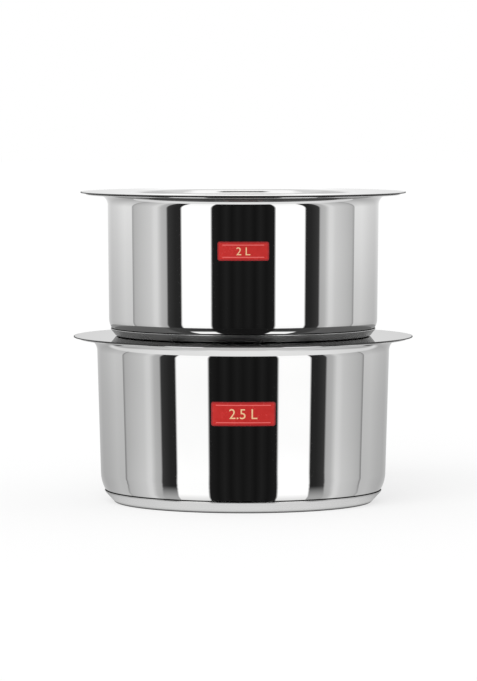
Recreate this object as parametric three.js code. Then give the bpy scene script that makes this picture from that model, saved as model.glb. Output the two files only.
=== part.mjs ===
import * as THREE from 'three';

// Two handle-less steel cooking pots with flat pressed lids, the smaller pot standing on
// the lid of the larger one. Millimetres, +Z up, origin under the middle of the lower base.

// Sheets and fits shared by both pots
const bodySheet = 0.8; // drawn wall, floor and flange
const lidSheet = 0.7; // pressed lid
const capSheet = 0.6; // steel cap that closes the base
const labelSheet = 0.2; // printed label
const seatGap = 0.3; // between pieces that lift off each other
const bondGap = 0.1; // between pieces that are bonded together

// Lids
const lidOverhang = 3.4; // lid edge beyond the flange edge
const recessDepth = 3.4; // sunken middle below the flat ring
const recessBend = 2.6; // inside radius of both bends of the recess
const recessSlope = THREE.MathUtils.degToRad(68); // steepest wall of the recess
const stackLand = 4.8; // flat ring kept inside the standing face of the pot above
const topLand = 7; // the same on the top lid, inside its own pot's standing face

// Base caps and labels
const standBend = 0.9; // inside radius where the cap turns up from its standing face
const labelCorner = 1.4; // corner radius of the labels

// The lower, larger pot; its bottom bend is an elliptical quarter, longer up than in
const lowerPot = {
  height: 105.2, // standing face to top of flange
  footRadius: 91.2, // outside of the wall above the bottom bend
  mouthRadius: 93.4, // outside of the wall below the neck
  bendReach: 8.6, // bottom bend, inward
  bendRise: 15.1, // bottom bend, upward
  neckRadius: 7.5, // flare under the flange
  flangeWidth: 4.2, // flat ring beyond the flare
  standRadius: 81.6, // flat standing face
  discThickness: 3.6, // aluminium heat disc
  capLap: 2.7, // cap lip above the underside of the pot floor
  labelWidth: 40,
  labelHeight: 15,
  labelRise: 62.8, // label centre above the standing face
};

// The upper, smaller pot, with the same sizes named
const upperPot = {
  height: 90.8,
  footRadius: 85.8,
  mouthRadius: 86.6,
  bendReach: 5.2,
  bendRise: 8.2,
  neckRadius: 6.6,
  flangeWidth: 7.4,
  standRadius: 80.6,
  discThickness: 2,
  capLap: 1.4,
  labelWidth: 32,
  labelHeight: 11.8,
  labelRise: 57,
};

// Facets
const turnSteps = 60; // sides of a full turn
const bodyBendSteps = 4; // straight runs in a bend of a pot body
const pressBendSteps = 2; // straight runs in a bend of a lid, a cap or a disc
const edgeSteps = 3; // straight runs round a sheet's rounded edge
const capLapSteps = 12; // places where a cap's cone can meet its pot's bottom bend
const labelStrip = THREE.MathUtils.degToRad(2.5); // widest strip of a label round the wall
const labelCornerSteps = 3; // strips in a label's corner

const flangeRadius = (pot) => pot.mouthRadius + pot.neckRadius + pot.flangeWidth;
const flangeUnderside = (pot) => pot.height - bodySheet;
const discUnderside = capSheet + bondGap;
const discTop = (pot) => discUnderside + pot.discThickness;
const floorUnderside = (pot) => discTop(pot) + bondGap;
const bendTop = (pot) => floorUnderside(pot) + pot.bendRise;
const lidSeat = (pot) => pot.height + seatGap;

// Outside radius of a pot's tapered wall at a height
function wallRadiusAt(pot, z) {
  const neckStart = flangeUnderside(pot) - pot.neckRadius;
  const share = (z - bendTop(pot)) / (neckStart - bendTop(pot));
  return THREE.MathUtils.lerp(pot.footRadius, pot.mouthRadius, share);
}

function polishedSteel() {
  return new THREE.MeshStandardMaterial({ color: 0xcfcfcc, roughness: 0.12, metalness: 1 });
}

function plainAluminium() {
  return new THREE.MeshStandardMaterial({ color: 0xb4b6b8, roughness: 0.45, metalness: 1 });
}

function redPrint() {
  return new THREE.MeshStandardMaterial({ color: 0xc42f2c, roughness: 0.35, metalness: 0 });
}

function namedMesh(name, geometry, material) {
  const mesh = new THREE.Mesh(geometry, material);
  mesh.name = name;
  return mesh;
}

function revolve(section) {
  return new THREE.LatheGeometry(section, turnSteps).rotateX(Math.PI / 2);
}

// Points from the axis, level with a path's start, and on along the path; a path divides each
// arc into twice the number that it is given.
function traceFromAxis(path, bendSteps) {
  const points = path.getPoints(bendSteps / 2);
  return [new THREE.Vector2(0, points[0].y), ...points];
}

function leftNormal(from, to) {
  return new THREE.Vector2(from.y - to.y, to.x - from.x).normalize();
}

// Closed section of a sheet: one face runs from the axis to a free edge, the other lies one
// sheet to its left, and the edge between them is rounded.
function sheetSection(face, sheet) {
  const last = face.length - 1;
  const otherFace = face.map((point, i) => {
    const before = leftNormal(face[Math.max(i - 1, 0)], face[Math.max(i, 1)]);
    const after = leftNormal(face[Math.min(i, last - 1)], face[Math.min(i + 1, last)]);
    const mitre = before.clone().add(after).normalize();
    return point.clone().addScaledVector(mitre, sheet / mitre.dot(before));
  });
  const across = leftNormal(face[last - 1], face[last]);
  const outward = new THREE.Vector2(across.y, -across.x);
  const middle = face[last].clone().addScaledVector(across, sheet / 2);
  const edge = [];
  for (let step = 1; step < edgeSteps; step += 1) {
    const angle = (Math.PI * step) / edgeSteps;
    const point = middle.clone().addScaledVector(across, (-Math.cos(angle) * sheet) / 2);
    edge.push(point.addScaledVector(outward, (Math.sin(angle) * sheet) / 2));
  }
  return [...face, ...edge, ...otherFace.reverse()];
}

// Deep-drawn body: flat floor, elliptical bottom bend, tapered wall, flared neck, flat flange
function potBody(pot) {
  const underside = flangeUnderside(pot);
  const bendCentre = pot.footRadius - pot.bendReach;
  const neckCentre = pot.mouthRadius + pot.neckRadius;
  const outside = new THREE.Path();
  outside.absellipse(bendCentre, bendTop(pot), pot.bendReach, pot.bendRise, -Math.PI / 2, 0, false);
  outside.absarc(neckCentre, underside - pot.neckRadius, pot.neckRadius, Math.PI, Math.PI / 2, true);
  outside.lineTo(flangeRadius(pot) - bodySheet / 2, underside);
  return revolve(sheetSection(traceFromAxis(outside, bodyBendSteps), bodySheet));
}

// Outside of a cap that lies on its pot's bottom bend: points from under the floor to the lip
function capLapPoints(pot) {
  const centreRadius = pot.footRadius - pot.bendReach + bondGap + capSheet;
  const centreHeight = bendTop(pot) - capSheet;
  const lipHeight = floorUnderside(pot) + pot.capLap;
  const lipAngle = Math.asin((lipHeight - centreHeight) / pot.bendRise);
  const bend = new THREE.EllipseCurve(centreRadius, centreHeight, pot.bendReach, pot.bendRise);
  bend.aStartAngle = -Math.PI / 2;
  bend.aEndAngle = lipAngle;
  return bend.getPoints(capLapSteps);
}

// The cap's cone leaves the bend round its standing face on a tangent and meets the pot's bottom
// bend where it first touches it: at the lip, or below it, with the cap lying on the bend from
// there to its lip. The angle is that of the cone's outward normal.
function capCone(pot) {
  const outerBend = standBend + capSheet;
  const points = capLapPoints(pot);
  const angles = points.map((point) => {
    const rise = point.y - outerBend;
    const reach = point.x - pot.standRadius;
    return Math.atan2(rise, reach) - Math.acos(Math.min(1, outerBend / Math.hypot(rise, reach)));
  });
  const angle = Math.min(...angles);
  return { outerBend, angle, lap: points.slice(angles.indexOf(angle)) };
}

function baseCap(pot) {
  const cone = capCone(pot);
  const outside = new THREE.Path();
  outside.absarc(pot.standRadius, cone.outerBend, cone.outerBend, -Math.PI / 2, cone.angle, false);
  cone.lap.forEach((point) => outside.lineTo(point.x, point.y));
  return revolve(sheetSection(traceFromAxis(outside, pressBendSteps), capSheet));
}

// The heat disc fills the cap up to the pot's floor, so its rim has the cap's bend and cone
function heatDisc(pot) {
  const cone = capCone(pot);
  const rimBend = standBend - bondGap;
  const climb = discTop(pot) - cone.outerBend;
  const topRadius = pot.standRadius + (rimBend - climb * Math.sin(cone.angle)) / Math.cos(cone.angle);
  const outline = new THREE.Path();
  outline.absarc(pot.standRadius, cone.outerBend, rimBend, -Math.PI / 2, cone.angle, false);
  outline.lineTo(topRadius, discTop(pot));
  outline.lineTo(0, discTop(pot));
  return revolve(traceFromAxis(outline, pressBendSteps));
}

// Pressed lid, with the underside of its flat ring at zero and a sunken middle
function pressedLid(pot, recessRadius) {
  const bendSum = 2 * recessBend + lidSheet;
  const slope = Math.min(recessSlope, Math.acos(Math.max(0, 1 - recessDepth / bendSum)));
  const lowerBend = recessBend + lidSheet;
  const straightRise = recessDepth - bendSum * (1 - Math.cos(slope));
  const slopeReach = bendSum * Math.sin(slope) + straightRise / Math.tan(slope);
  const floorRadius = recessRadius - slopeReach;
  const quarter = Math.PI / 2;
  const underside = new THREE.Path();
  underside.absarc(floorRadius, lowerBend - recessDepth, lowerBend, -quarter, slope - quarter, false);
  underside.absarc(recessRadius, -recessBend, recessBend, slope + quarter, quarter, true);
  underside.lineTo(flangeRadius(pot) + lidOverhang - lidSheet / 2, 0);
  return revolve(sheetSection(traceFromAxis(underside, pressBendSteps), lidSheet));
}

// Stations across a label with round corners: distance from its middle, and half its height
function labelStations(pot, wallRadius) {
  const halfHeight = pot.labelHeight / 2;
  const straight = pot.labelWidth / 2 - labelCorner;
  const columns = Math.ceil((2 * straight) / wallRadius / labelStrip);
  const stations = [];
  for (let column = 0; column <= columns; column += 1) {
    stations.push({ across: straight * ((2 * column) / columns - 1), half: halfHeight });
  }
  for (let step = 1; step <= labelCornerSteps; step += 1) {
    const angle = (Math.PI / 2) * (step / labelCornerSteps);
    const across = straight + labelCorner * Math.sin(angle);
    const half = halfHeight - labelCorner * (1 - Math.cos(angle));
    stations.push({ across, half });
    stations.unshift({ across: -across, half });
  }
  return stations;
}

// A flat label wrapped on the front of the tapered wall: a unit box gets one strip between
// each two stations, and is then bent round the wall.
function wrappedLabel(pot) {
  const wallRadius = wallRadiusAt(pot, pot.labelRise);
  const stations = labelStations(pot, wallRadius);
  const strips = stations.length - 1;
  const label = new THREE.BoxGeometry(1, 1, 1, strips, 1, 1);
  const place = label.getAttribute('position');
  for (let i = 0; i < place.count; i += 1) {
    const station = stations[Math.round((place.getX(i) + 0.5) * strips)];
    const angle = station.across / wallRadius;
    const z = pot.labelRise + 2 * place.getZ(i) * station.half;
    const radius = wallRadiusAt(pot, z) + bondGap + (0.5 - place.getY(i)) * labelSheet;
    place.setXYZ(i, radius * Math.sin(angle), -radius * Math.cos(angle), z);
  }
  return label;
}

function potWithLid(name, pot, recessRadius) {
  const group = new THREE.Group();
  group.add(namedMesh(`${name}_pot_body`, potBody(pot), polishedSteel()));
  group.add(namedMesh(`${name}_heat_disc`, heatDisc(pot), plainAluminium()));
  group.add(namedMesh(`${name}_base_cap`, baseCap(pot), polishedSteel()));
  group.add(namedMesh(`${name}_label`, wrappedLabel(pot), redPrint()));
  const lid = namedMesh(`${name}_lid`, pressedLid(pot, recessRadius), polishedSteel());
  lid.position.z = lidSeat(pot);
  group.add(lid);
  return group;
}

const stack = new THREE.Group();
const lower = potWithLid('lower', lowerPot, upperPot.standRadius - stackLand);
const upper = potWithLid('upper', upperPot, upperPot.standRadius - topLand);
upper.position.z = lidSeat(lowerPot) + lidSheet + seatGap;
stack.add(lower, upper);

export default stack;
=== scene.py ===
import math

import bmesh
import bpy
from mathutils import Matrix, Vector


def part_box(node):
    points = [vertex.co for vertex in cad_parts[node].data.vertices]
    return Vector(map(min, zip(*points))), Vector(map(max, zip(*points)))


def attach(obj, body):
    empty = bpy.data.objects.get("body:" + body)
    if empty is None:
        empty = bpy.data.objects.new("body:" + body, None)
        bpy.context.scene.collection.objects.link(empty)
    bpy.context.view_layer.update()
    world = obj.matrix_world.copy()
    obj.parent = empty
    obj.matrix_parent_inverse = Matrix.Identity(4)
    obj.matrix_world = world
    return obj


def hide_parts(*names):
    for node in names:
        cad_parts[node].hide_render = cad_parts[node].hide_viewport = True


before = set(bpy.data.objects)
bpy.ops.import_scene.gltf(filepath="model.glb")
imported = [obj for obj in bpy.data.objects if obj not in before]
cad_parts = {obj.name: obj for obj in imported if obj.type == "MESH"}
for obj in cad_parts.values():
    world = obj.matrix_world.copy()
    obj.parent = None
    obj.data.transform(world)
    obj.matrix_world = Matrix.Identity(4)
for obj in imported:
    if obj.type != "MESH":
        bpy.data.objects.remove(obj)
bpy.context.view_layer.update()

print("frame loaded with", len(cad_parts), "nodes")


# node helpers, for shader and geometry trees alike
def feed(tree, socket, value):
    if isinstance(value, bpy.types.NodeSocket):
        tree.links.new(value, socket)
    else:
        socket.default_value = value


def addNode(tree, kind, inputs=None, **settings):
    node = tree.nodes.new(kind)
    for name, value in settings.items():
        setattr(node, name, value)
    for key, value in (inputs or {}).items():
        feed(tree, node.inputs[key], value)
    return node


def calc(tree, operation, *values):
    inputs = dict(enumerate(values))
    return addNode(tree, "ShaderNodeMath", inputs, operation=operation).outputs[0]


def splitPlace(tree, place):
    node = addNode(tree, "ShaderNodeSeparateXYZ", {"Vector": place})
    return [node.outputs[name] for name in "XYZ"]


def joinPlace(tree, x, y, z):
    return addNode(tree, "ShaderNodeCombineXYZ", {"X": x, "Y": y, "Z": z}).outputs[0]


def remap(tree, value, low, high, toLow, toHigh):
    inputs = {"Value": value, "From Min": low, "From Max": high, "To Min": toLow, "To Max": toHigh}
    return addNode(tree, "ShaderNodeMapRange", inputs).outputs["Result"]


# the Mix node's first input, second input and output, by what it mixes
mixSockets = {"FLOAT": (2, 3, 0), "RGBA": (6, 7, 2)}


def mix(tree, kind, share, first, second):
    low, high, out = mixSockets[kind]
    inputs = {0: share, low: first, high: second}
    return addNode(tree, "ShaderNodeMix", inputs, data_type=kind).outputs[out]


def pick(tree, share, first, second):
    return mix(tree, "FLOAT", share, first, second)


def blendColors(tree, share, *colors):
    # a colour is a socket, or red, green and blue
    opaque = [color if isinstance(color, bpy.types.NodeSocket) else (*color, 1.0) for color in colors]
    return mix(tree, "RGBA", share, *opaque)


def grey(level):
    return (level, level, level, 1.0)


# where a finish is on its piece
def objectPlace(tree):
    return addNode(tree, "ShaderNodeTexCoord").outputs["Object"]


def axisDistance(tree, place):
    squares = [calc(tree, "MULTIPLY", side, side) for side in splitPlace(tree, place)[:2]]
    return calc(tree, "SQRT", calc(tree, "ADD", *squares))


def ringPlace(tree, place):
    # the same all round the pots' axis, so that noise on it makes rings
    return joinPlace(tree, axisDistance(tree, place), 0.0, splitPlace(tree, place)[2])


noiseSpan = (0.3, 0.7)          # levels that most of a noise lies between


def noise(tree, place, scale, detail):
    inputs = {"Vector": place, "Scale": scale, "Detail": detail}
    return addNode(tree, "ShaderNodeTexNoise", inputs).outputs["Fac"]


def spread(tree, noisy, ends):
    return remap(tree, noisy, *noiseSpan, *ends)


def relief(tree, height, depth, normal=None):
    node = addNode(tree, "ShaderNodeBump", {"Height": height, "Strength": 1.0, "Distance": depth})
    if normal is not None:
        feed(tree, node.inputs["Normal"], normal)
    return node.outputs["Normal"]


def newFinish(name):
    finish = bpy.data.materials.new(name)
    finish.use_nodes = True
    return finish, finish.node_tree


def dress(finish, looks):
    shader = finish.node_tree.nodes["Principled BSDF"]
    for name, value in looks.items():
        feed(finish.node_tree, shader.inputs[name], value)
    return finish


# mirror polish of the walls and lids; each noise has its scale and detail
polish = {
    "dull": (0.60, 0.60, 0.598),
    "bright": (0.66, 0.66, 0.658),
    "cloud": (14.0, 4.0),
    "hazeSpan": (0.12, 0.42),
    "roughness": (0.018, 0.042),
    "lines": (1400.0, 3.0),     # polishing lines round the pot
    "lineDepth": 3e-8,
    "wave": (16.0, 1.0),        # faint unevenness of the drawn sheet
    "waveDepth": 4e-6,
    "wallMetal": 1.0,
    "lidMetal": 0.85,           # the rest scatters light, as fine haze on the top lid does
}


def mirrorSteel(name, metal):
    finish, tree = newFinish(name)
    place = objectPlace(tree)
    cloud = noise(tree, place, *polish["cloud"])
    lines = noise(tree, ringPlace(tree, place), *polish["lines"])
    haze = calc(tree, "MULTIPLY", cloud, lines)
    wave = relief(tree, noise(tree, place, *polish["wave"]), polish["waveDepth"])
    return dress(finish, {
        "Base Color": blendColors(tree, cloud, polish["dull"], polish["bright"]),
        "Roughness": remap(tree, haze, *polish["hazeSpan"], *polish["roughness"]),
        "Normal": relief(tree, lines, polish["lineDepth"], wave),
        "Metallic": metal})


# satin brushing round the axis, inside the pots and under the lids
satin = {
    "dull": (0.64, 0.64, 0.637),
    "bright": (0.78, 0.78, 0.777),
    "lines": (900.0, 5.0),
    "lineDepth": 1.6e-6,
    "patches": (22.0, 3.0),
    "roughness": (0.18, 0.30),
    "metallic": 0.9,            # the rest scatters light, as a matte surface does
}

# finer brushing on the cones of the base caps
coneSatin = {
    "dull": (0.48, 0.48, 0.478),
    "bright": (0.62, 0.62, 0.618),
    "lines": (1500.0, 5.0),
    "lineDepth": 1.2e-6,
    "patches": (30.0, 3.0),
    "roughness": (0.20, 0.30),
    "metallic": 1.0,
}

# edges of the flanges, lids and cap lips, painted dark as the shade in the gaps beside them
edgeShade = {
    "dull": (0.03, 0.03, 0.03),
    "bright": (0.10, 0.10, 0.10),
    "lines": (2200.0, 5.0),
    "lineDepth": 2e-6,
    "patches": (160.0, 3.0),
    "roughness": (0.35, 0.55),
    "metallic": 1.0,
}


def brushedSteel(name, look):
    finish, tree = newFinish(name)
    place = objectPlace(tree)
    lines = noise(tree, ringPlace(tree, place), *look["lines"])
    patches = noise(tree, place, *look["patches"])
    return dress(finish, {
        "Base Color": blendColors(tree, lines, look["dull"], look["bright"]),
        "Roughness": spread(tree, patches, look["roughness"]),
        "Normal": relief(tree, lines, look["lineDepth"]),
        "Metallic": look["metallic"]})


# turned rings under the base caps
turned = {
    "groove": (0.46, 0.457, 0.45),
    "crest": (0.66, 0.655, 0.645),
    "ringSpacing": 0.0009,
    "ringDepth": 9e-6,
    "swirl": (30.0, 2.0),
    "wander": 0.5,              # how far the swirl shifts a ring, in rings
    "roughness": (0.20, 0.36),
}


def turnedSteel():
    finish, tree = newFinish("turnedSteel")
    place = objectPlace(tree)
    swirl = noise(tree, place, *turned["swirl"])
    rings = calc(tree, "DIVIDE", axisDistance(tree, place), turned["ringSpacing"])
    phase = calc(tree, "ADD", rings, calc(tree, "MULTIPLY", swirl, turned["wander"]))
    halfRing = 0.5
    crest = calc(tree, "DIVIDE", calc(tree, "PINGPONG", phase, halfRing), halfRing)
    return dress(finish, {
        "Base Color": blendColors(tree, crest, turned["groove"], turned["crest"]),
        "Roughness": spread(tree, swirl, turned["roughness"]),
        "Normal": relief(tree, crest, turned["ringDepth"]),
        "Metallic": 1.0})


# rolled aluminium of the heat discs
rolled = {
    "dull": (0.52, 0.525, 0.53),
    "bright": (0.68, 0.685, 0.69),
    "stretch": (40.0, 900.0, 900.0),
    "grain": (1.0, 4.0),
    "grainDepth": 3e-6,
    "roughness": (0.38, 0.52),
}


def rolledAluminium():
    finish, tree = newFinish("rolledAluminium")
    inputs = {"Vector": objectPlace(tree), "Scale": rolled["stretch"]}
    stretched = addNode(tree, "ShaderNodeMapping", inputs).outputs[0]
    grain = noise(tree, stretched, *rolled["grain"])
    return dress(finish, {
        "Base Color": blendColors(tree, grain, rolled["dull"], rolled["bright"]),
        "Roughness": spread(tree, grain, rolled["roughness"]),
        "Normal": relief(tree, grain, rolled["grainDepth"]),
        "Metallic": 1.0})


# gloss red vinyl of the labels, with a darker rim and two pale rules
vinyl = {
    "ground": (0.63, 0.030, 0.026),
    "deep": (0.52, 0.024, 0.022),
    "mottle": (260.0, 4.0),
    "rim": (0.36, 0.022, 0.024),
    "rimWidth": 0.0009,
    "rule": (0.85, 0.17, 0.16),
    "ruleInset": 0.0021,
    "ruleWidth": 0.0005,
    "ruleMargin": 0.0030,
    "soft": 0.0001,             # width of the step from one colour to the next
    "roughness": (0.20, 0.30),
    "grain": (900.0, 2.0),
    "grainDepth": 1.5e-6,
    "coat": 0.3,
    "coatRoughness": 0.08,
}


def below(tree, value, limit):
    # one where value is below limit
    half = vinyl["soft"] / 2
    return remap(tree, value, limit - half, limit + half, 1.0, 0.0)


def redVinyl():
    finish, tree = newFinish("redVinyl")
    place = objectPlace(tree)
    edge = addNode(tree, "ShaderNodeAttribute", attribute_name="fromEdge").outputs["Vector"]
    fromSide, fromLevel, fromRim = splitPlace(tree, edge)
    mottle = noise(tree, place, *vinyl["mottle"])
    fromRule = calc(tree, "ABSOLUTE", calc(tree, "SUBTRACT", fromLevel, vinyl["ruleInset"]))
    onRule = below(tree, fromRule, vinyl["ruleWidth"] / 2)
    within = calc(tree, "SUBTRACT", 1.0, below(tree, fromSide, vinyl["ruleMargin"]))
    ground = blendColors(tree, mottle, vinyl["deep"], vinyl["ground"])
    ruled = blendColors(tree, calc(tree, "MULTIPLY", onRule, within), ground, vinyl["rule"])
    return dress(finish, {
        "Base Color": blendColors(tree, below(tree, fromRim, vinyl["rimWidth"]), ruled, vinyl["rim"]),
        "Roughness": spread(tree, mottle, vinyl["roughness"]),
        "Normal": relief(tree, noise(tree, place, *vinyl["grain"]), vinyl["grainDepth"]),
        "Coat Weight": vinyl["coat"],
        "Coat Roughness": vinyl["coatRoughness"]})


# cream ink of the numerals
ink = {
    "worn": (0.82, 0.50, 0.27),
    "pale": (0.92, 0.64, 0.36),
    "wear": (420.0, 3.0),
    "roughness": (0.28, 0.42),
}


def creamInk():
    finish, tree = newFinish("creamInk")
    wear = noise(tree, objectPlace(tree), *ink["wear"])
    return dress(finish, {
        "Base Color": blendColors(tree, wear, ink["worn"], ink["pale"]),
        "Roughness": spread(tree, wear, ink["roughness"])})


finishes = {finish.name: finish for finish in (
    mirrorSteel("polishedSteel", polish["wallMetal"]), mirrorSteel("lidSteel", polish["lidMetal"]),
    brushedSteel("satinSteel", satin), brushedSteel("coneSteel", coneSatin),
    # the dark edge steel is painted shade of the gaps at the free edges
    brushedSteel("edgeShadeSteel", edgeShade), turnedSteel(), rolledAluminium(), redVinyl(), creamInk())}
print("finishes made:", ", ".join(finishes))


# sections of the sheet pieces: (radius, height) points in metres
sheets = {"body": 0.0008, "lid": 0.0007, "cap": 0.0006, "label": 0.0002, "bond": 0.0001}
sampling = {
    "run": 0.002,               # spacing on straight runs
    "shortRun": 0.0012,         # shorter straight runs get no points
    "support": 0.0003,          # closer points beside the bends
    "bend": math.radians(4),    # turn of a bend from point to point
    "same": 1e-7,               # points nearer than this are one
    "edge": 8,                  # steps round a free edge
    "rimRows": 6,               # rows beside a free edge that keep the outer finish
    "turn": 240,                # steps round the axis
    "merge": 1e-6,              # distance at which the seam and the poles close
}


def arcPoints(centre, radii, start, end):
    steps = max(2, math.ceil(abs(end - start) / sampling["bend"]))
    angles = [start + (end - start) * step / steps for step in range(steps + 1)]
    return [Vector((centre[0] + radii[0] * math.cos(a), centre[1] + radii[1] * math.sin(a))) for a in angles]


def joinPoints(*stretches):
    # straight runs between the stretches get even points, with closer ones beside the bends
    points = [stretches[0][0]]
    for stretch in stretches:
        gap = stretch[0] - points[-1]
        length = gap.length
        if length > sampling["shortRun"]:
            count = math.ceil(length / sampling["run"])
            shares = {step / count for step in range(1, count)}
            shares |= {sampling["support"] / length, 1 - sampling["support"] / length}
            start = points[-1].copy()
            points += [start + gap * share for share in sorted(shares)]
        points += [point for point in stretch if (point - points[-1]).length > sampling["same"]]
    return points


def sheetSection(face, sheet):
    # the other face lies one sheet to the left, and a half round closes the free edge
    def left(i):
        run = (face[i + 1] - face[i]).normalized()
        return Vector((-run.y, run.x))
    last = len(face) - 1
    other = []
    for i, point in enumerate(face):
        before = left(max(i - 1, 0))
        mitre = (before + left(min(i, last - 1))).normalized()
        other.append(point + mitre * (sheet / mitre.dot(before)))
    across = left(last - 1)
    outward = Vector((across.y, -across.x))
    middle = face[last] + across * sheet / 2
    edge = []
    for step in range(1, sampling["edge"]):
        angle = math.pi * step / sampling["edge"]
        edge.append(middle + (outward * math.sin(angle) - across * math.cos(angle)) * sheet / 2)
    return face + edge + other[::-1]


def edgeEnd(face):
    # row at which the other face starts
    return len(face) + sampling["edge"]


def edgeShadeRows(face, share=0.5):
    # the upper share of the free edge, which gets the painted edge shade
    return edgeEnd(face) - round(share * sampling["edge"]), edgeEnd(face)


# Geometry Nodes lathe: turns a section about the pots' axis, with other finishes on picked rows
latheInputs = (
    ("Section", "NodeSocketGeometry"), ("Turn Steps", "NodeSocketInt"), ("Main Finish", "NodeSocketMaterial"),
    ("Row Finish", "NodeSocketMaterial"), ("First Row", "NodeSocketInt"), ("Last Row", "NodeSocketInt"),
    ("Edge Finish", "NodeSocketMaterial"), ("First Edge", "NodeSocketInt"), ("Last Edge", "NodeSocketInt"))
rowName = "sheetRow"
halfRow = 0.5


def turnedRows(tree, section, steps):
    # a grid with one row for each point of the section, wrapped round the axis
    points = addNode(tree, "GeometryNodeAttributeDomainSize", {"Geometry": section}).outputs["Point Count"]
    size = {"Vertices X": calc(tree, "ADD", steps, 1.0), "Vertices Y": points}
    grid = addNode(tree, "GeometryNodeMeshGrid", size).outputs["Mesh"]
    index = addNode(tree, "GeometryNodeInputIndex").outputs[0]
    column = calc(tree, "FLOOR", calc(tree, "DIVIDE", index, points))
    sampled = {
        "Geometry": section,
        "Value": addNode(tree, "GeometryNodeInputPosition").outputs[0],
        "Index": calc(tree, "FLOORED_MODULO", index, points)}
    sample = addNode(tree, "GeometryNodeSampleIndex", sampled, data_type="FLOAT_VECTOR", domain="POINT")
    radius, _, height = splitPlace(tree, sample.outputs["Value"])
    angle = calc(tree, "MULTIPLY", calc(tree, "DIVIDE", column, steps), 2 * math.pi)
    x = calc(tree, "MULTIPLY", radius, calc(tree, "SINE", angle))
    y = calc(tree, "MULTIPLY", radius, calc(tree, "COSINE", angle))
    place = joinPlace(tree, x, calc(tree, "MULTIPLY", y, -1.0), height)
    wrapped = addNode(tree, "GeometryNodeSetPosition", {"Geometry": grid, "Position": place}).outputs[0]
    faceRow = calc(tree, "FLOORED_MODULO", index, calc(tree, "SUBTRACT", points, 1.0))
    stored = {"Geometry": wrapped, "Name": rowName, "Value": faceRow}
    return addNode(tree, "GeometryNodeStoreNamedAttribute", stored, data_type="INT", domain="FACE").outputs[0]


def pickedRows(tree, first, last):
    row = addNode(tree, "GeometryNodeInputNamedAttribute", {"Name": rowName}, data_type="INT").outputs[0]
    fromFirst = calc(tree, "GREATER_THAN", row, calc(tree, "SUBTRACT", first, halfRow))
    toLast = calc(tree, "LESS_THAN", row, calc(tree, "SUBTRACT", last, halfRow))
    return calc(tree, "MULTIPLY", fromFirst, toLast)


def turnedSheetTree():
    tree = bpy.data.node_groups.new("turnedSheet", "GeometryNodeTree")
    for name, kind in latheInputs:
        tree.interface.new_socket(name, in_out="INPUT", socket_type=kind)
    tree.interface.new_socket("Sheet", in_out="OUTPUT", socket_type="NodeSocketGeometry")
    given = addNode(tree, "NodeGroupInput").outputs
    rows = turnedRows(tree, given["Section"], given["Turn Steps"])
    closed = addNode(tree, "GeometryNodeMergeByDistance", {"Geometry": rows, "Distance": sampling["merge"]})
    smooth = addNode(tree, "GeometryNodeSetShadeSmooth", {"Geometry": closed.outputs[0]})
    sheet = addNode(tree, "GeometryNodeRealizeInstances", {"Geometry": smooth.outputs[0]}).outputs[0]
    paint = {"Geometry": sheet, "Material": given["Main Finish"]}
    sheet = addNode(tree, "GeometryNodeSetMaterial", paint).outputs[0]
    for part in ("Row", "Edge"):
        rows = pickedRows(tree, given["First " + part], given["Last " + part])
        paint = {"Geometry": sheet, "Material": given[part + " Finish"], "Selection": rows}
        sheet = addNode(tree, "GeometryNodeSetMaterial", paint).outputs[0]
    feed(tree, addNode(tree, "NodeGroupOutput").inputs["Sheet"], sheet)
    return tree


latheTree = turnedSheetTree()


def addPiece(name, data):
    piece = bpy.data.objects.new(name, data)
    bpy.context.scene.collection.objects.link(piece)
    return piece


def shapedMesh(carrier):
    # the plain mesh of an object's modifiers or text
    bpy.context.view_layer.update()
    shaped = carrier.evaluated_get(bpy.context.evaluated_depsgraph_get())
    return bpy.data.meshes.new_from_object(shaped)


def faceOutward(mesh):
    shell = bmesh.new()
    shell.from_mesh(mesh)
    bmesh.ops.recalc_face_normals(shell, faces=shell.faces)
    shell.to_mesh(mesh)
    shell.free()


def turnSection(name, section, mainFinish, rowFinish, rows, edgeRows):
    outline = bpy.data.meshes.new(name + "Section")
    links = [(i, i + 1) for i in range(len(section) - 1)]
    outline.from_pydata([(point.x, 0, point.y) for point in section], links, [])
    blank = addPiece(name + "Blank", outline)
    lathe = blank.modifiers.new("lathe", "NODES")
    lathe.node_group = latheTree
    values = {
        "Turn Steps": sampling["turn"], "Main Finish": finishes[mainFinish],
        "Row Finish": finishes[rowFinish], "First Row": rows[0], "Last Row": rows[1],
        # the free edges get the dark steel, painted shade of the gaps beside them
        "Edge Finish": finishes["edgeShadeSteel"], "First Edge": edgeRows[0], "Last Edge": edgeRows[1]}
    for item in latheTree.interface.items_tree:
        if item.name in values:
            lathe[item.identifier] = values[item.name]
    mesh = shapedMesh(blank)
    mesh.attributes.remove(mesh.attributes[rowName])
    blank.modifiers.remove(lathe)
    bpy.data.objects.remove(blank)
    faceOutward(mesh)
    return addPiece(name, mesh)


# the two pots, each measured from the underside of its own base cap
lowerPot = {
    "name": "lower",
    "height": 0.1052,
    "footRadius": 0.0912,       # wall above the bottom bend
    "mouthRadius": 0.0934,      # wall under the neck
    "bendReach": 0.0086,        # the bottom bend inwards, and its rise
    "bendRise": 0.0151,
    "neckRadius": 0.0075,       # bend from the wall into the flange
    "flangeWidth": 0.0042,
    "standRadius": 0.0816,      # flat standing face
    "discThickness": 0.0036,
    "capLap": 0.0027,           # rise of the cap's lip on the bottom bend
    "lidFinish": "polishedSteel",
    "lidLand": 0.0048,          # flat of the lid inside the standing face of a pot on it
    "numeral": "2.5 L",
}
upperPot = {
    "name": "upper",
    "height": 0.0908,
    "footRadius": 0.0858,
    "mouthRadius": 0.0866,
    "bendReach": 0.0052,
    "bendRise": 0.0082,
    "neckRadius": 0.0066,
    "flangeWidth": 0.0074,
    "standRadius": 0.0806,
    "discThickness": 0.002,
    "capLap": 0.0014,
    "lidFinish": "lidSteel",
    "lidLand": 0.007,
    "numeral": "2 L",
}
pots = (lowerPot, upperPot)

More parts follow.
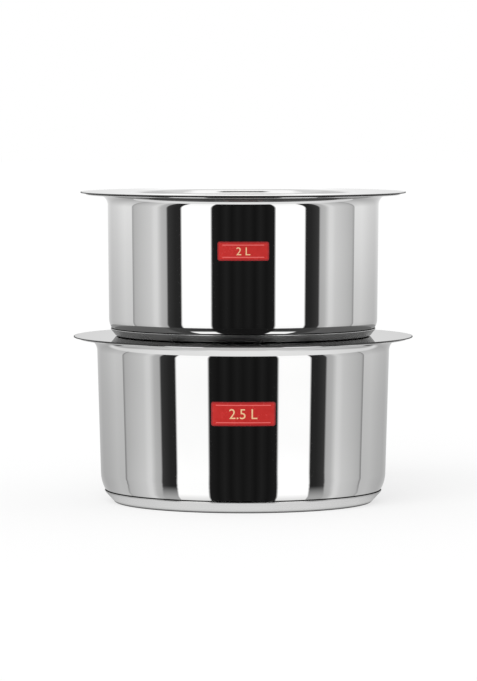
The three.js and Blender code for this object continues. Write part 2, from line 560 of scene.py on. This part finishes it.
for pot in pots:
    pot["stand"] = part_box(pot["name"] + "_base_cap")[0].z
    pot["lidBox"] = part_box(pot["name"] + "_lid")
    pot["labelBox"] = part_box(pot["name"] + "_label")


def floorUnderside(pot):
    return pot["stand"] + sheets["cap"] + pot["discThickness"] + 2 * sheets["bond"]


def bendTop(pot):
    return floorUnderside(pot) + pot["bendRise"]


def flangeUnderside(pot):
    return pot["stand"] + pot["height"] - sheets["body"]


def neckStart(pot):
    return flangeUnderside(pot) - pot["neckRadius"]


def flangeRadius(pot):
    return pot["mouthRadius"] + pot["neckRadius"] + pot["flangeWidth"]


def wallLean(pot):
    return math.atan2(pot["mouthRadius"] - pot["footRadius"], neckStart(pot) - bendTop(pot))


def wallRadius(pot, z):
    return pot["footRadius"] + (z - bendTop(pot)) * math.tan(wallLean(pot))


def makeBody(pot):
    # the bottom bend ends where it leans as the wall does
    lean = wallLean(pot)
    bendEnd = -math.atan(pot["bendRise"] / pot["bendReach"] * math.tan(lean))
    bendCentre = (pot["footRadius"] - pot["bendReach"], bendTop(pot))
    neckCentre = (pot["mouthRadius"] + pot["neckRadius"], neckStart(pot))
    face = joinPoints(
        [Vector((0, floorUnderside(pot)))],
        arcPoints(bendCentre, (pot["bendReach"], pot["bendRise"]), -math.pi / 2, bendEnd),
        arcPoints(neckCentre, (pot["neckRadius"],) * 2, math.pi - lean, math.pi / 2),
        [Vector((flangeRadius(pot) - sheets["body"] / 2, flangeUnderside(pot)))])
    section = sheetSection(face, sheets["body"])
    insideRows = (edgeEnd(face) + sampling["rimRows"], len(section))
    return turnSection(
        pot["name"] + "Body", section, "polishedSteel", "satinSteel", insideRows, edgeShadeRows(face))


# base caps: a flat standing face, a cone, and a lip that lies on the bottom bend
capPress = {"bend": 0.0015, "turnedMargin": 0.001}


def capLapPoints(pot):
    # outside of a cap that lies on its pot's bottom bend, from under the floor to the lip
    middle = bendTop(pot) - sheets["cap"]
    lip = floorUnderside(pot) + pot["capLap"]
    centre = (pot["footRadius"] - pot["bendReach"] + sheets["bond"] + sheets["cap"], middle)
    lipAngle = math.asin((lip - middle) / pot["bendRise"])
    return arcPoints(centre, (pot["bendReach"], pot["bendRise"]), -math.pi / 2, lipAngle)


def makeCap(pot):
    # the cone is the flattest line from the standing face's bend that touches the lap
    bend, stand = capPress["bend"], pot["stand"]
    lap = capLapPoints(pot)
    slopes = []
    for point in lap:
        rise, reach = point.y - stand - bend, point.x - pot["standRadius"]
        slopes.append(math.atan2(rise, reach) - math.acos(min(1, bend / math.hypot(rise, reach))))
    slope = min(slopes)
    face = joinPoints(
        [Vector((0, stand))],
        arcPoints((pot["standRadius"], stand + bend), (bend, bend), -math.pi / 2, slope),
        lap[slopes.index(slope):])
    flatRows = sum(1 for point in face if point.x < pot["standRadius"] - capPress["turnedMargin"])
    return turnSection(
        pot["name"] + "Cap", sheetSection(face, sheets["cap"]), "coneSteel", "turnedSteel", (0, flatRows),
        edgeShadeRows(face))


# lids: a flat ring and a sunken middle, with painted edge shade on the whole edge
lidPress = {"depth": 0.0034, "bend": 0.0026, "slope": math.radians(68), "edgeShadeShare": 1.0}


def makeLid(pot):
    sheet, bend, depth = sheets["lid"], lidPress["bend"], lidPress["depth"]
    ring = pot["lidBox"][1].z - sheet
    recessRadius = upperPot["standRadius"] - pot["lidLand"]
    lowerBend, bendSum = bend + sheet, 2 * bend + sheet
    slope = min(lidPress["slope"], math.acos(max(0, 1 - depth / bendSum)))
    straight = depth - bendSum * (1 - math.cos(slope))
    floorRadius = recessRadius - bendSum * math.sin(slope) - straight / math.tan(slope)
    quarter = math.pi / 2
    face = joinPoints(
        [Vector((0, ring - depth))],
        arcPoints((floorRadius, ring + lowerBend - depth), (lowerBend, lowerBend), -quarter, slope - quarter),
        arcPoints((recessRadius, ring - bend), (bend, bend), slope + quarter, quarter),
        [Vector((pot["lidBox"][1].x - sheet / 2, ring))])
    underRows = (0, len(face) - sampling["rimRows"])
    return turnSection(
        pot["name"] + "Lid", sheetSection(face, sheet), pot["lidFinish"], "satinSteel", underRows,
        edgeShadeRows(face, lidPress["edgeShadeShare"]))


# labels, wrapped on the front of the walls
labelCut = {"corner": 0.0014, "columns": 48, "cornerColumns": 8, "rows": 16}


def labelMiddle(pot):
    low, high = pot["labelBox"]
    return (low.z + high.z) / 2


def labelSize(pot):
    # width round the wall, and height
    low, high = pot["labelBox"]
    wall = wallRadius(pot, labelMiddle(pot))
    front = wall + sheets["bond"] + sheets["label"]
    return 2 * math.asin((high.x - low.x) / 2 / front) * wall, high.z - low.z


def wrapOnWall(pot, across, z, lift):
    turn = across / wallRadius(pot, labelMiddle(pot))
    radius = wallRadius(pot, z) + sheets["bond"] + lift
    return (radius * math.sin(turn), -radius * math.cos(turn), z)


def rimDistance(fromSide, fromLevel):
    corner = labelCut["corner"]
    if fromSide < corner and fromLevel < corner:
        return corner - math.hypot(corner - fromSide, corner - fromLevel)
    return min(fromSide, fromLevel)


def labelStations(width, height):
    # places across a label with round corners: distance from its middle, and half its height there
    corner, columns = labelCut["corner"], labelCut["columns"]
    straight = width / 2 - corner
    stations = [(straight * (2 * i / columns - 1), height / 2) for i in range(columns + 1)]
    for step in range(1, labelCut["cornerColumns"] + 1):
        angle = math.pi / 2 * step / labelCut["cornerColumns"]
        across, half = straight + corner * math.sin(angle), height / 2 - corner * (1 - math.cos(angle))
        stations = [(-across, half)] + stations + [(across, half)]
    return stations


def labelLayer(pot, shell, fromEdge, lift):
    # one face of a label; each point knows how far it is from the sides, from top or bottom, and from the rim
    width, height = labelSize(pot)
    rows = labelCut["rows"]
    layer = []
    for across, half in labelStations(width, height):
        column = []
        for step in range(rows + 1):
            level = half * (2 * step / rows - 1)
            vert = shell.verts.new(wrapOnWall(pot, across, labelMiddle(pot) + level, lift))
            fromSide, fromLevel = width / 2 - abs(across), height / 2 - abs(level)
            vert[fromEdge] = (fromSide, fromLevel, rimDistance(fromSide, fromLevel))
            column.append(vert)
        layer.append(column)
    return layer


def makeLabel(pot):
    shell = bmesh.new()
    fromEdge = shell.verts.layers.float_vector.new("fromEdge")
    back, front = [labelLayer(pot, shell, fromEdge, lift) for lift in (0.0, sheets["label"])]
    columns, rows = len(front) - 1, labelCut["rows"]
    for i in range(columns):
        for j in range(rows):
            shell.faces.new((front[i][j], front[i + 1][j], front[i + 1][j + 1], front[i][j + 1]))
            shell.faces.new((back[i][j], back[i][j + 1], back[i + 1][j + 1], back[i + 1][j]))
        for j in (0, rows):
            shell.faces.new((front[i][j], back[i][j], back[i + 1][j], front[i + 1][j]))
    for i in (0, columns):
        for j in range(rows):
            shell.faces.new((front[i][j], front[i][j + 1], back[i][j + 1], back[i][j]))
    mesh = bpy.data.meshes.new(pot["name"] + "Label")
    shell.to_mesh(mesh)
    shell.free()
    faceOutward(mesh)
    mesh.materials.append(finishes["redVinyl"])
    return addPiece(pot["name"] + "Label", mesh)


# numerals printed on the labels
numeralPrint = {
    "share": 0.42,              # height, as a share of the label's
    "capital": 0.7,             # height of a capital in a font of size one
    "inkDepth": 0.00004,
    "curveSteps": 6,
}


def makeNumeral(pot):
    depth = numeralPrint["inkDepth"]
    words = bpy.data.curves.new(pot["name"] + "NumeralCurve", "FONT")
    words.body = pot["numeral"]
    words.size = labelSize(pot)[1] * numeralPrint["share"] / numeralPrint["capital"]
    words.align_x, words.align_y = "CENTER", "CENTER"
    words.extrude = depth / 2
    words.resolution_u = numeralPrint["curveSteps"]
    carrier = addPiece(pot["name"] + "NumeralText", words)
    mesh = shapedMesh(carrier)
    bpy.data.objects.remove(carrier)
    xs = [vert.co.x for vert in mesh.vertices]
    ys = [vert.co.y for vert in mesh.vertices]
    middleX, middleY = (min(xs) + max(xs)) / 2, (min(ys) + max(ys)) / 2
    for vert in mesh.vertices:
        x, y, z = vert.co
        lift = sheets["label"] + depth / 2 + z
        vert.co = wrapOnWall(pot, x - middleX, labelMiddle(pot) + y - middleY, lift)
    mesh.materials.clear()
    mesh.materials.append(finishes["creamInk"])
    return addPiece(pot["name"] + "Numeral", mesh)


def fitPiece(piece, body, slot, *nodes):
    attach(piece, body)
    if nodes:
        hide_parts(*nodes)


for pot in pots:
    name = pot["name"]
    fitPiece(makeBody(pot), name + "_pot", "polished_steel", name + "_pot_body")
    fitPiece(makeCap(pot), name + "_pot", "base_steel", name + "_base_cap")
    fitPiece(makeLid(pot), name + "_lid", "polished_steel", name + "_lid")
    fitPiece(makeLabel(pot), name + "_pot", "red_label", name + "_label")
    fitPiece(makeNumeral(pot), name + "_pot", "red_label")
    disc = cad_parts[name + "_heat_disc"]
    disc.data.materials.clear()
    disc.data.materials.append(finishes["rolledAluminium"])
    print(name, "pot made")


# studio: white floor and world, with a glowing ring of cards and a glowing sky card that only the steel sees,
# painted reflections that light nothing else
studio = {
    "floorHalf": 12.0,
    "floorGlow": 0.66,
    "floorPaint": 0.30,
    "worldLight": 0.85,
}
halfTurnDegrees = 180
cards = {
    "radius": 0.26,
    "foot": -0.002,
    "height": 0.90,
    "sides": 180,
    "peak": 2.5,                # brightest level that a ramp holds
    # degrees from the camera's side, and the brightness that the steel sees there
    "around": (
        (0, 0.012), (4, 0.018), (8, 0.010), (12, 0.020), (16, 0.011), (22.3, 0.020),
        (22.8, 1.60), (44.7, 1.60),
        (45.3, 0.028), (50.0, 0.030), (54.0, 0.046), (56.6, 0.064),
        (57.4, 0.60), (62.0, 0.70), (66.0, 1.0), (68.5, 1.0), (72.0, 0.88), (77.0, 0.82), (84.0, 0.74),
        (90.0, 0.66), (91.2, 0.60), (91.8, 0.36), (92.8, 0.36), (93.4, 0.74),
        (104, 0.74), (118, 0.62), (132, 0.54), (145, 0.56), (160, 0.60), (180, 0.60)),
    "backFrom": 91.5,
    # height, and how much brighter the front cards and the back are there
    "frontRise": ((0.0, 1.0), (0.02, 0.96), (0.06, 0.95), (0.15, 1.05), (0.9, 1.06)),
    "backRise": (
        (0.0, 1.0), (0.05, 1.06), (0.126, 1.28), (0.2, 1.62), (0.64, 1.62), (0.70, 2.5), (0.9, 2.5)),
    # the cards beside lifted pieces, and those under the sky that the lids see, by degrees again
    "high": (
        (0, 0.24), (8, 0.20), (17, 0.10), (22.3, 0.08),
        (22.8, 1.55), (44.7, 1.55),
        (45.3, 0.09), (56.6, 0.13),
        (57.4, 0.66), (68, 1.0), (91, 0.80), (92, 0.52),
        (157, 0.51), (164, 0.55), (168, 0.65), (180, 0.68)),
    "top": ((0, 0.03), (36, 0.03), (46, 1.5), (91, 1.5), (92, 0.62), (180, 0.62)),
    "highFrom": (0.188, 0.199),
    "topFrom": (0.43, 0.46),
    # a second reflection, as between the pots, sees painted shade with a painted glint high on each side
    "secondLookShade": ((0, 0.018), (22, 0.024), (24, 0.096), (57, 0.12), (62, 0.25), (180, 0.27)),
    "secondLookShadeFrom": 0.155,
    "secondLookShadeTo": 140.0,
    "glint": (
        (0, 0.018), (22.3, 0.024),
        (22.8, 2.3), (44.7, 2.3),
        (45.3, 0.10), (57, 0.12), (62, 0.25), (180, 0.27)),
    "glintRise": ((0.0, 0.0), (0.26, 0.0), (0.27, 1.0), (0.42, 1.0), (0.43, 0.0), (0.9, 0.0)),
    "again": 0.6,               # share that is left of the low cards in a second reflection: painted shade
    "againDepth": 1.5,          # ray depth past which a reflection is the second one
    "sky": 1.45,
    "farSky": 0.76,             # a second look at the sky from farther than this, off the lower lid
    "farSkyShare": 0.33,        # sees this share of it: painted shade
}


def rampNode(tree, value, stops, top, peak):
    node = addNode(tree, "ShaderNodeValToRGB", {"Fac": value})
    marks = node.color_ramp.elements
    for _ in range(len(stops) - len(marks)):
        marks.new(0.5)          # moved to its own place below
    for mark, (place, level) in zip(marks, stops):
        mark.position = place / top
        mark.color = grey(level / peak)
    return calc(tree, "MULTIPLY", node.outputs["Color"], peak)


def degreeRamp(tree, share, stops):
    return rampNode(tree, share, stops, halfTurnDegrees, cards["peak"])


def emptyShader(name):
    finish, tree = newFinish(name)
    tree.nodes.remove(tree.nodes["Principled BSDF"])
    return finish, tree, tree.nodes["Material Output"].inputs["Surface"]


def shineNode(tree, level):
    return addNode(tree, "ShaderNodeEmission", {"Color": grey(1.0), "Strength": level}).outputs[0]


def halfTurn(tree, place):
    # share of the half turn from the camera's side, the same to left and right
    x, y, _ = splitPlace(tree, place)
    azimuth = calc(tree, "ARCTAN2", x, calc(tree, "MULTIPLY", y, -1.0))
    return calc(tree, "DIVIDE", calc(tree, "ABSOLUTE", azimuth), math.pi)


def seenAgain(tree):
    depth = addNode(tree, "ShaderNodeLightPath").outputs["Ray Depth"]
    return calc(tree, "GREATER_THAN", depth, cards["againDepth"])


def seenAgainFrom(tree, reach):
    # a second reflection from farther away than reach
    length = addNode(tree, "ShaderNodeLightPath").outputs["Ray Length"]
    return calc(tree, "MULTIPLY", calc(tree, "GREATER_THAN", length, reach), seenAgain(tree))


def cardGlow():
    glow, tree, surface = emptyShader("cardGlow")
    place = objectPlace(tree)
    share, z = halfTurn(tree, place), splitPlace(tree, place)[2]
    height = cards["height"]
    rise = calc(tree, "DIVIDE", z, height)
    behind = calc(tree, "GREATER_THAN", share, cards["backFrom"] / halfTurnDegrees)
    lifts = [rampNode(tree, rise, cards[key], height, cards["peak"]) for key in ("frontRise", "backRise")]
    lift = pick(tree, behind, *lifts)
    zones = [degreeRamp(tree, share, cards[key]) for key in ("around", "high", "top")]
    low, high, top = [calc(tree, "MULTIPLY", zone, lift) for zone in zones]
    first = low
    for start, zone in (("highFrom", high), ("topFrom", top)):
        first = pick(tree, remap(tree, z, *cards[start], 0.0, 1.0), first, zone)
    # painted shade and painted glint that second reflections see
    secondLookShade, glint = [degreeRamp(tree, share, cards[key]) for key in ("secondLookShade", "glint")]
    secondLookShade = pick(tree, rampNode(tree, rise, cards["glintRise"], height, 1.0), secondLookShade, glint)
    above = calc(tree, "GREATER_THAN", z, cards["secondLookShadeFrom"])
    ahead = calc(tree, "LESS_THAN", share, cards["secondLookShadeTo"] / halfTurnDegrees)
    dimmed = calc(tree, "MULTIPLY", low, cards["again"])
    again = pick(tree, calc(tree, "MULTIPLY", above, ahead), dimmed, secondLookShade)
    feed(tree, surface, shineNode(tree, pick(tree, seenAgain(tree), first, again)))
    return glow


def onlyForSteel(card):
    for rays in ("camera", "diffuse", "shadow", "transmission"):
        setattr(card, "visible_" + rays, False)
    return card


def cardRing():
    radius, sides = cards["radius"], cards["sides"]
    turn = [2 * math.pi * i / sides for i in range(sides)]
    levels = (cards["foot"], cards["height"])
    verts = [(radius * math.sin(a), -radius * math.cos(a), z) for z in levels for a in turn]
    faces = [(i, i + sides, (i + 1) % sides + sides, (i + 1) % sides) for i in range(sides)]
    mesh = bpy.data.meshes.new("cardRing")
    mesh.from_pydata(verts, [], faces)
    mesh.materials.append(cardGlow())
    return onlyForSteel(addPiece("cardRing", mesh))


def flatSquare(name, half, z, finish):
    corners = [(-half, -half, z), (half, -half, z), (half, half, z), (-half, half, z)]
    mesh = bpy.data.meshes.new(name)
    mesh.from_pydata(corners, [], [(0, 1, 2, 3)])
    mesh.materials.append(finish)
    return addPiece(name, mesh)


def skyCard():
    glow, tree, surface = emptyShader("skyGlow")
    # painted shade on far second looks at the sky
    share = pick(tree, seenAgainFrom(tree, cards["farSky"]), 1.0, cards["farSkyShare"])
    feed(tree, surface, shineNode(tree, calc(tree, "MULTIPLY", share, cards["sky"])))
    return onlyForSteel(flatSquare("skyCard", cards["radius"], cards["height"], glow))


# the floor as the steel sees it, all painted: a painted contact shadow under the base and white beyond, but
# where the steel looks along it a painted reflection of the cards' bands runs in to the foot
apron = {
    # degrees from the camera's side, and how white the floor is there
    "white": ((0, 1.20), (60, 1.16), (100, 1.0), (180, 0.95)),
    "sideShade": ((0, 1.0), (30, 1.0), (60, 0.85), (90, 0.56), (115, 0.60), (150, 0.95), (180, 1.0)),
    "sideShadeTo": (0.112, 0.135),  # distance from the axis at which the shade beside the foot ends
    "paintedContactShadow": (0.0825, 0.0838),    # the painted contact shadow under the base ends here
    "paintedContactShadowLevel": 0.02,
    "farLook": 0.18,                # a second reflection from farther than this sees the floor in shade
    "shade": 0.1,
    "from": (0.0895, 0.0915),       # distance from the axis at which the bands start
    "limitOver": (0.09, 0.20),      # how steep a look still sees the bands, near the foot and far from it
    "limit": (0.02, 0.55),
    "soft": 0.03,
    # distance from the axis, and how much narrower than on the cards the bands are there
    "narrow": (
        (0.088, 1.60), (0.092, 1.56), (0.095, 1.505), (0.098, 1.46), (0.104, 1.409), (0.1146, 1.33),
        (0.1335, 1.23), (0.150, 1.169), (0.178, 1.10), (0.200, 1.06), (0.224, 1.03), (0.254, 1.003),
        (0.262, 1.0)),
    "paleOver": (0.0915, 0.128),    # the white bands turn pale near the foot
    "pale": 1.15,
    "greyOver": (0.096, 0.150),     # the dark side band turns grey near the foot
    "greyFall": 2.0,                # power by which the grey goes
    "greyFrom": 45.0,
    "grey": 0.55,
}


def floorWhite(tree, share, radius):
    # what a steep look sees
    white = degreeRamp(tree, share, apron["white"])
    clear = remap(tree, radius, *apron["sideShadeTo"], 0.0, 1.0)
    sideShade = pick(tree, clear, degreeRamp(tree, share, apron["sideShade"]), 1.0)
    # painted contact shadow under the base
    paintedContactShadow = remap(tree, radius, *apron["paintedContactShadow"], apron["paintedContactShadowLevel"], 1.0)
    farShade = pick(tree, seenAgainFrom(tree, apron["farLook"]), 1.0, apron["shade"])
    for shade in (sideShade, paintedContactShadow, farShade):
        white = calc(tree, "MULTIPLY", white, shade)
    return white


def floorBands(tree, share, radius):
    # what a shallow look sees: a painted reflection of the cards' bands
    span = apron["narrow"][-1][0]
    narrow = rampNode(tree, calc(tree, "DIVIDE", radius, span), apron["narrow"], span, cards["peak"])
    share = calc(tree, "MULTIPLY", share, narrow)
    palest = remap(tree, radius, *apron["paleOver"], apron["pale"], cards["peak"])
    bands = calc(tree, "MINIMUM", degreeRamp(tree, share, cards["around"]), palest)
    greyed = calc(tree, "MAXIMUM", bands, apron["grey"])
    beside = calc(tree, "GREATER_THAN", share, apron["greyFrom"] / halfTurnDegrees)
    nearFoot = calc(tree, "POWER", remap(tree, radius, *apron["greyOver"], 1.0, 0.0), apron["greyFall"])
    return pick(tree, calc(tree, "MULTIPLY", beside, nearFoot), bands, greyed)


def floorPaint():
    paint, tree, surface = emptyShader("paleFloor")
    place = objectPlace(tree)
    share, radius = halfTurn(tree, place), axisDistance(tree, place)
    facing = addNode(tree, "ShaderNodeLayerWeight").outputs["Facing"]
    limit = remap(tree, radius, *apron["limitOver"], *apron["limit"])
    along = remap(tree, calc(tree, "SUBTRACT", facing, limit), -apron["soft"], apron["soft"], 0.0, 1.0)
    beyond = remap(tree, radius, *apron["from"], 0.0, 1.0)
    onBands = calc(tree, "MULTIPLY", along, beyond)
    sheen = shineNode(tree, pick(
        tree, onBands, floorWhite(tree, share, radius), floorBands(tree, share, radius)))
    matte = addNode(tree, "ShaderNodeBsdfDiffuse", {"Color": grey(studio["floorPaint"])}).outputs[0]
    glow = shineNode(tree, studio["floorGlow"])
    bright = addNode(tree, "ShaderNodeAddShader", {0: matte, 1: glow}).outputs[0]
    path = addNode(tree, "ShaderNodeLightPath").outputs
    seen = addNode(tree, "ShaderNodeMixShader", {0: path["Is Camera Ray"], 1: matte, 2: bright}).outputs[0]
    lit = addNode(tree, "ShaderNodeMixShader", {0: path["Is Glossy Ray"], 1: seen, 2: sheen}).outputs[0]
    feed(tree, surface, lit)
    return paint


def paleFloor():
    return flatSquare("paleFloor", studio["floorHalf"], 0.0, floorPaint())


def paleWorld():
    world = bpy.data.worlds.new("paleWorld")
    world.use_nodes = True
    tree = world.node_tree
    path = addNode(tree, "ShaderNodeLightPath").outputs
    seen = path["Is Camera Ray"]
    for rays in ("Is Glossy Ray", "Is Transmission Ray"):
        seen = calc(tree, "MAXIMUM", seen, path[rays])
    back = tree.nodes["Background"]
    feed(tree, back.inputs["Color"], grey(1.0))
    feed(tree, back.inputs["Strength"], remap(tree, seen, 0.0, 1.0, studio["worldLight"], 1.0))
    bpy.context.scene.world = world


# wide soft light from the front, a little to the left
softLamp = {"from": (-0.7, -1.8, 1.4), "strength": 1.66, "spread": math.radians(50)}


def frontLamp():
    light = bpy.data.lights.new("softLamp", "SUN")
    light.energy, light.angle = softLamp["strength"], softLamp["spread"]
    lamp = addPiece("softLamp", light)
    lamp.rotation_euler = (-Vector(softLamp["from"])).to_track_quat("-Z", "Y").to_euler()
    lamp.visible_glossy = False


cardRing()
skyCard()
paleFloor()
paleWorld()
frontLamp()
print("studio set")


# camera at the photograph's place, a long lens a little above the upper lid
shot = {
    "place": (-0.00298, -2.745, 0.267),
    "pitch": math.radians(3.42),
    "lens": 227.0,
    "sensor": 36.0,
    "reach": 60.0,
}
view = bpy.data.cameras.new("shot")
view.lens, view.sensor_width = shot["lens"], shot["sensor"]
view.clip_end = shot["reach"]
camera = addPiece("shot", view)
camera.location = shot["place"]
camera.rotation_euler = (math.pi / 2 - shot["pitch"], 0, 0)
bpy.context.scene.camera = camera
bpy.context.scene.view_settings.view_transform = "Standard"
